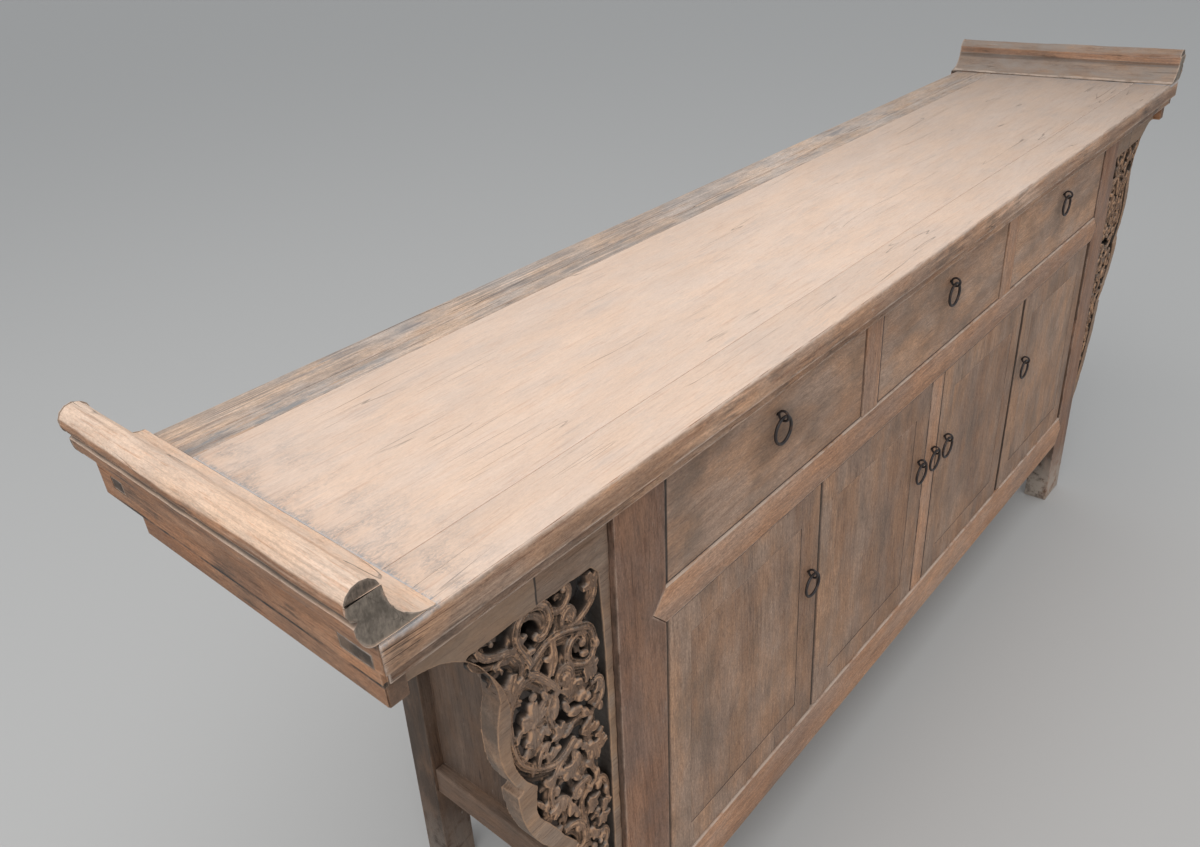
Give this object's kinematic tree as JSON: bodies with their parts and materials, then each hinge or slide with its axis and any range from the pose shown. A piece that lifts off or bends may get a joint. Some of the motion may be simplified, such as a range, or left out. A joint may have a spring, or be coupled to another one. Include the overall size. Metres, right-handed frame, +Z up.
{
  "type": "altar cabinet",
  "caption": "Long altar cabinet with upturned ends, drawers over pivot doors, splayed legs, carved spandrels beside the front legs and iron ring pulls.",
  "frame": {"origin": "on the floor, under the middle of the cabinet", "axes": "+X along the length to the right as seen from the front, +Y from front to back, +Z up"},
  "size_m": [2.0726, 0.452, 0.9193],
  "materials": {
    "top_wood": "worn, waxed old elm, pale",
    "frame_wood": "worn old elm, reddish brown",
    "door_wood": "worn old elm, grey brown",
    "carved_wood": "carved, dark in its hollows",
    "inner_wood": "bare, sawn",
    "iron": "dark forged iron"
  },
  "bodies": {
    "carcase": {"top_front_rail": "top_wood", "top_main_board": "top_wood", "top_strip": "top_wood", "top_rear_board": "top_wood", "top_end_left": "top_wood", "top_end_right": "top_wood", "flange_left": "top_wood", "flange_right": "top_wood", "end_apron_left": "frame_wood", "end_apron_right": "frame_wood", "spandrel_left": "carved_wood", "spandrel_right": "carved_wood", "leg_front_left": "frame_wood", "leg_front_right": "frame_wood", "leg_rear_left": "frame_wood", "leg_rear_right": "frame_wood", "drawer_rail": "frame_wood", "bottom_rail": "frame_wood", "rear_top_rail": "frame_wood", "rear_bottom_rail": "frame_wood", "side_rail_left": "frame_wood", "side_rail_right": "frame_wood", "side_panel_left": "frame_wood", "side_panel_right": "frame_wood", "back_panel": "inner_wood", "cupboard_floor": "inner_wood", "dust_board": "inner_wood", "divider_left": "frame_wood", "divider_right": "frame_wood"},
    "drawer_left": {"drawer_front_left": "door_wood", "drawer_box_left": "inner_wood", "staple_drawer_left": "iron"},
    "drawer_middle": {"drawer_front_middle": "door_wood", "drawer_box_middle": "inner_wood", "staple_drawer_middle": "iron"},
    "drawer_right": {"drawer_front_right": "door_wood", "drawer_box_right": "inner_wood", "staple_drawer_right": "iron"},
    "door_outer_left": {"door_frame_outer_left": "door_wood", "door_panel_outer_left": "door_wood", "staple_door_outer_left": "iron"},
    "door_inner_left": {"door_frame_inner_left": "door_wood", "door_panel_inner_left": "door_wood", "staple_door_inner_left": "iron"},
    "door_inner_right": {"door_frame_inner_right": "door_wood", "door_panel_inner_right": "door_wood", "staple_door_inner_right": "iron"},
    "door_outer_right": {"door_frame_outer_right": "door_wood", "door_panel_outer_right": "door_wood", "staple_door_outer_right": "iron"},
    "stile": {"centre_stile": "door_wood", "staple_stile": "iron"},
    "pull_drawer_left": {"ring_drawer_left": "iron"},
    "pull_drawer_middle": {"ring_drawer_middle": "iron"},
    "pull_drawer_right": {"ring_drawer_right": "iron"},
    "pull_door_outer_left": {"ring_door_outer_left": "iron"},
    "pull_door_inner_left": {"ring_door_inner_left": "iron"},
    "pull_door_inner_right": {"ring_door_inner_right": "iron"},
    "pull_door_outer_right": {"ring_door_outer_right": "iron"},
    "pull_stile": {"ring_stile": "iron"}
  },
  "joints": [
    {"name": "slide_drawer_left", "type": "slide", "parent": "carcase", "child": "drawer_left", "axis": [0, -1, 0], "range_m": [0, 0.28]},
    {"name": "slide_drawer_middle", "type": "slide", "parent": "carcase", "child": "drawer_middle", "axis": [0, -1, 0], "range_m": [0, 0.28]},
    {"name": "slide_drawer_right", "type": "slide", "parent": "carcase", "child": "drawer_right", "axis": [0, -1, 0], "range_m": [0, 0.28]},
    {"name": "hinge_door_outer_left", "type": "hinge", "parent": "carcase", "child": "door_outer_left", "pos_m": [-0.6692, -0.193, 0.422], "axis": [-0.042, 0, -0.9991], "range_deg": [0, 90]},
    {"name": "hinge_door_inner_left", "type": "hinge", "parent": "carcase", "child": "door_inner_left", "pos_m": [-0.335, -0.193, 0.422], "axis": [0, 0, -1], "range_deg": [0, 90]},
    {"name": "hinge_door_inner_right", "type": "hinge", "parent": "carcase", "child": "door_inner_right", "pos_m": [0.335, -0.193, 0.422], "axis": [0, 0, 1], "range_deg": [0, 90]},
    {"name": "hinge_door_outer_right", "type": "hinge", "parent": "carcase", "child": "door_outer_right", "pos_m": [0.6692, -0.193, 0.422], "axis": [-0.042, 0, 0.9991], "range_deg": [0, 90]},
    {"name": "slide_stile", "type": "slide", "parent": "carcase", "child": "stile", "axis": [0, -1, 0], "range_m": [0, 0.12]},
    {"name": "swing_ring_drawer_left", "type": "hinge", "parent": "drawer_left", "child": "pull_drawer_left", "pos_m": [-0.4579, -0.2122, 0.7729], "axis": [-1, 0, 0], "range_deg": [0, 110]},
    {"name": "swing_ring_drawer_middle", "type": "hinge", "parent": "drawer_middle", "child": "pull_drawer_middle", "pos_m": [0, -0.2122, 0.7729], "axis": [-1, 0, 0], "range_deg": [0, 110]},
    {"name": "swing_ring_drawer_right", "type": "hinge", "parent": "drawer_right", "child": "pull_drawer_right", "pos_m": [0.4579, -0.2122, 0.7729], "axis": [-1, 0, 0], "range_deg": [0, 110]},
    {"name": "swing_ring_door_outer_left", "type": "hinge", "parent": "door_outer_left", "child": "pull_door_outer_left", "pos_m": [-0.373, -0.2122, 0.4929], "axis": [-1, 0, 0], "range_deg": [0, 110]},
    {"name": "swing_ring_door_inner_left", "type": "hinge", "parent": "door_inner_left", "child": "pull_door_inner_left", "pos_m": [-0.047, -0.2122, 0.4929], "axis": [-1, 0, 0], "range_deg": [0, 110]},
    {"name": "swing_ring_door_inner_right", "type": "hinge", "parent": "door_inner_right", "child": "pull_door_inner_right", "pos_m": [0.047, -0.2122, 0.4929], "axis": [-1, 0, 0], "range_deg": [0, 110]},
    {"name": "swing_ring_door_outer_right", "type": "hinge", "parent": "door_outer_right", "child": "pull_door_outer_right", "pos_m": [0.373, -0.2122, 0.4929], "axis": [-1, 0, 0], "range_deg": [0, 110]},
    {"name": "swing_ring_stile", "type": "hinge", "parent": "stile", "child": "pull_stile", "pos_m": [0, -0.2122, 0.4929], "axis": [-1, 0, 0], "range_deg": [0, 110]}
  ]
}
